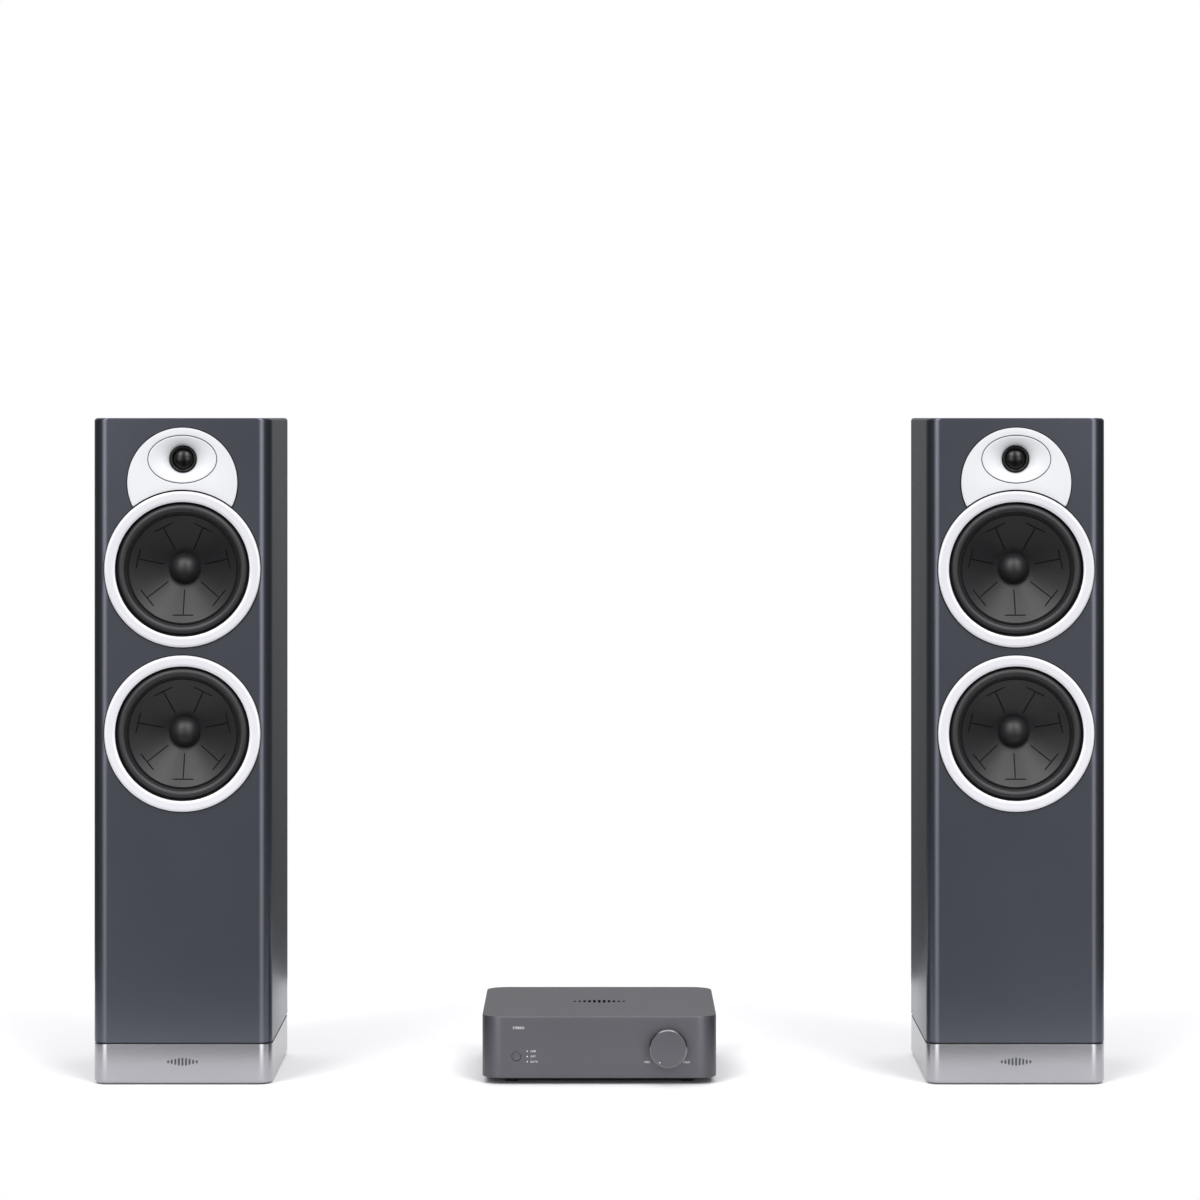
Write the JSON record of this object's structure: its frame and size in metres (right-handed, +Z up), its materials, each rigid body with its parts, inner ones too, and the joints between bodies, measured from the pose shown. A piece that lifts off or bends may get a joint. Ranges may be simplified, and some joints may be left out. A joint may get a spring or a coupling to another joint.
{
  "type": "mini hi-fi system",
  "caption": "Compact stereo amplifier with a volume knob and a power button between two floor-standing loudspeakers that have round woofers and a dome tweeter.",
  "frame": {"origin": "on the floor, in the middle of the box that holds the whole set", "axes": "+Z up, fronts facing -Y, +X to the right as seen from the front"},
  "size_m": [1.251, 0.327, 0.824],
  "materials": {
    "cabinet_finish": "fibreboard in a satin slate-grey lacquer",
    "silver_lacquer": "fibreboard in a metallic silver lacquer",
    "white_plastic": "satin white",
    "white_metal": "satin silver-white",
    "surround_rubber": "matt black rubber",
    "cone_paper": "coated charcoal pulp",
    "dome_silk": "coated silk",
    "foot_rubber": "matt black",
    "basket_alloy": "black-grey cast alloy",
    "motor_steel": "zinc plated",
    "spider_cloth": "impregnated cloth",
    "circuit_board": "green board with its parts",
    "bare_board": "bare fibreboard",
    "gold_contact": "gold plated",
    "red_plastic": "polished",
    "black_gloss": "polished",
    "black_plastic": "matt black",
    "anodised_aluminium": "fine-blasted grey anodised",
    "bare_aluminium": "mill finish",
    "rear_panel_paint": "fine-textured black",
    "screw_steel": "plated",
    "light_pipe": "clear white",
    "socket_metal": "nickel plated"
  },
  "bodies": {
    "set": {"left_cabinet": "cabinet_finish", "left_front_baffle": "cabinet_finish", "left_base_plinth": "silver_lacquer", "left_terminal_plate": "black_plastic", "left_tweeter_plate": "white_plastic", "left_tweeter_waveguide": "white_plastic", "left_upper_trim_ring": "white_metal", "left_lower_trim_ring": "white_metal", "left_upper_surround": "surround_rubber", "left_lower_surround": "surround_rubber", "right_cabinet": "cabinet_finish", "right_front_baffle": "cabinet_finish", "right_base_plinth": "silver_lacquer", "right_terminal_plate": "black_plastic", "right_tweeter_plate": "white_plastic", "right_tweeter_waveguide": "white_plastic", "right_upper_trim_ring": "white_metal", "right_lower_trim_ring": "white_metal", "right_upper_surround": "surround_rubber", "right_lower_surround": "surround_rubber", "port_tubes": "black_plastic", "speaker_foot_pads": "foot_rubber", "woofer_baskets": "basket_alloy", "woofer_motors": "motor_steel", "woofer_spiders": "spider_cloth", "tweeter_motors": "motor_steel", "crossover_boards": "circuit_board", "cabinet_braces": "bare_board", "speaker_post_studs": "gold_contact", "amp_case": "anodised_aluminium", "amp_base": "black_plastic", "amp_rear_panel": "rear_panel_paint", "amp_feet": "foot_rubber", "amp_case_screws": "screw_steel", "volume_potentiometer": "screw_steel", "front_board": "circuit_board", "indicator_lights": "light_pipe", "main_board": "circuit_board", "power_supply": "circuit_board", "heat_sink": "bare_aluminium", "mains_inlet": "black_plastic", "signal_sockets": "socket_metal", "amp_post_studs": "gold_contact"},
    "left_upper_cone_body": {"left_upper_cone": "cone_paper"},
    "left_lower_cone_body": {"left_lower_cone": "cone_paper"},
    "left_tweeter_dome_body": {"left_tweeter_dome": "dome_silk"},
    "left_red_nut_body": {"left_red_post_nut": "red_plastic"},
    "left_black_nut_body": {"left_black_post_nut": "black_gloss"},
    "right_upper_cone_body": {"right_upper_cone": "cone_paper"},
    "right_lower_cone_body": {"right_lower_cone": "cone_paper"},
    "right_tweeter_dome_body": {"right_tweeter_dome": "dome_silk"},
    "right_red_nut_body": {"right_red_post_nut": "red_plastic"},
    "right_black_nut_body": {"right_black_post_nut": "black_gloss"},
    "volume_knob_body": {"volume_knob": "anodised_aluminium", "volume_shaft": "screw_steel"},
    "power_button_body": {"power_button": "anodised_aluminium"},
    "amp_left_red_nut_body": {"amp_left_red_nut": "red_plastic"},
    "amp_left_black_nut_body": {"amp_left_black_nut": "black_gloss"},
    "amp_right_red_nut_body": {"amp_right_red_nut": "red_plastic"},
    "amp_right_black_nut_body": {"amp_right_black_nut": "black_gloss"}
  },
  "joints": [
    {"name": "left_upper_cone_stroke", "type": "slide", "parent": "set", "child": "left_upper_cone_body", "axis": [0, -1, 0], "range_m": [-0.004, 0.004], "stiffness_N_per_m": 1000, "deforming": ["left_upper_surround"]},
    {"name": "left_lower_cone_stroke", "type": "slide", "parent": "set", "child": "left_lower_cone_body", "axis": [0, -1, 0], "range_m": [-0.004, 0.004], "stiffness_N_per_m": 1000, "deforming": ["left_lower_surround"]},
    {"name": "left_dome_stroke", "type": "slide", "parent": "set", "child": "left_tweeter_dome_body", "axis": [0, -1, 0], "range_m": [-0.0003, 0.0003], "stiffness_N_per_m": 60},
    {"name": "left_red_nut_turn", "type": "hinge", "parent": "set", "child": "left_red_nut_body", "pos_m": [-0.5055, 0.146, 0.15], "axis": [0, -1, 0], "range_deg": [0, 720]},
    {"name": "left_black_nut_turn", "type": "hinge", "parent": "set", "child": "left_black_nut_body", "pos_m": [-0.5245, 0.146, 0.15], "axis": [0, -1, 0], "range_deg": [0, 720]},
    {"name": "right_upper_cone_stroke", "type": "slide", "parent": "set", "child": "right_upper_cone_body", "axis": [0, -1, 0], "range_m": [-0.004, 0.004], "stiffness_N_per_m": 1000, "deforming": ["right_upper_surround"]},
    {"name": "right_lower_cone_stroke", "type": "slide", "parent": "set", "child": "right_lower_cone_body", "axis": [0, -1, 0], "range_m": [-0.004, 0.004], "stiffness_N_per_m": 1000, "deforming": ["right_lower_surround"]},
    {"name": "right_dome_stroke", "type": "slide", "parent": "set", "child": "right_tweeter_dome_body", "axis": [0, -1, 0], "range_m": [-0.0003, 0.0003], "stiffness_N_per_m": 60},
    {"name": "right_red_nut_turn", "type": "hinge", "parent": "set", "child": "right_red_nut_body", "pos_m": [0.5245, 0.146, 0.15], "axis": [0, -1, 0], "range_deg": [0, 720]},
    {"name": "right_black_nut_turn", "type": "hinge", "parent": "set", "child": "right_black_nut_body", "pos_m": [0.5055, 0.146, 0.15], "axis": [0, -1, 0], "range_deg": [0, 720]},
    {"name": "volume_turn", "type": "hinge", "parent": "set", "child": "volume_knob_body", "pos_m": [0.085, -0.1555, 0.0465], "axis": [0, 1, 0], "range_deg": [0, 300]},
    {"name": "power_press", "type": "slide", "parent": "set", "child": "power_button_body", "axis": [0, 1, 0], "range_m": [0, 0.001], "stiffness_N_per_m": 200},
    {"name": "amp_right_black_nut_turn", "type": "hinge", "parent": "set", "child": "amp_right_black_nut_body", "pos_m": [-0.104, 0.1515, 0.044], "axis": [0, -1, 0], "range_deg": [0, 720]},
    {"name": "amp_right_red_nut_turn", "type": "hinge", "parent": "set", "child": "amp_right_red_nut_body", "pos_m": [-0.085, 0.1515, 0.044], "axis": [0, -1, 0], "range_deg": [0, 720]},
    {"name": "amp_left_black_nut_turn", "type": "hinge", "parent": "set", "child": "amp_left_black_nut_body", "pos_m": [-0.06, 0.1515, 0.044], "axis": [0, -1, 0], "range_deg": [0, 720]},
    {"name": "amp_left_red_nut_turn", "type": "hinge", "parent": "set", "child": "amp_left_red_nut_body", "pos_m": [-0.041, 0.1515, 0.044], "axis": [0, -1, 0], "range_deg": [0, 720]}
  ]
}
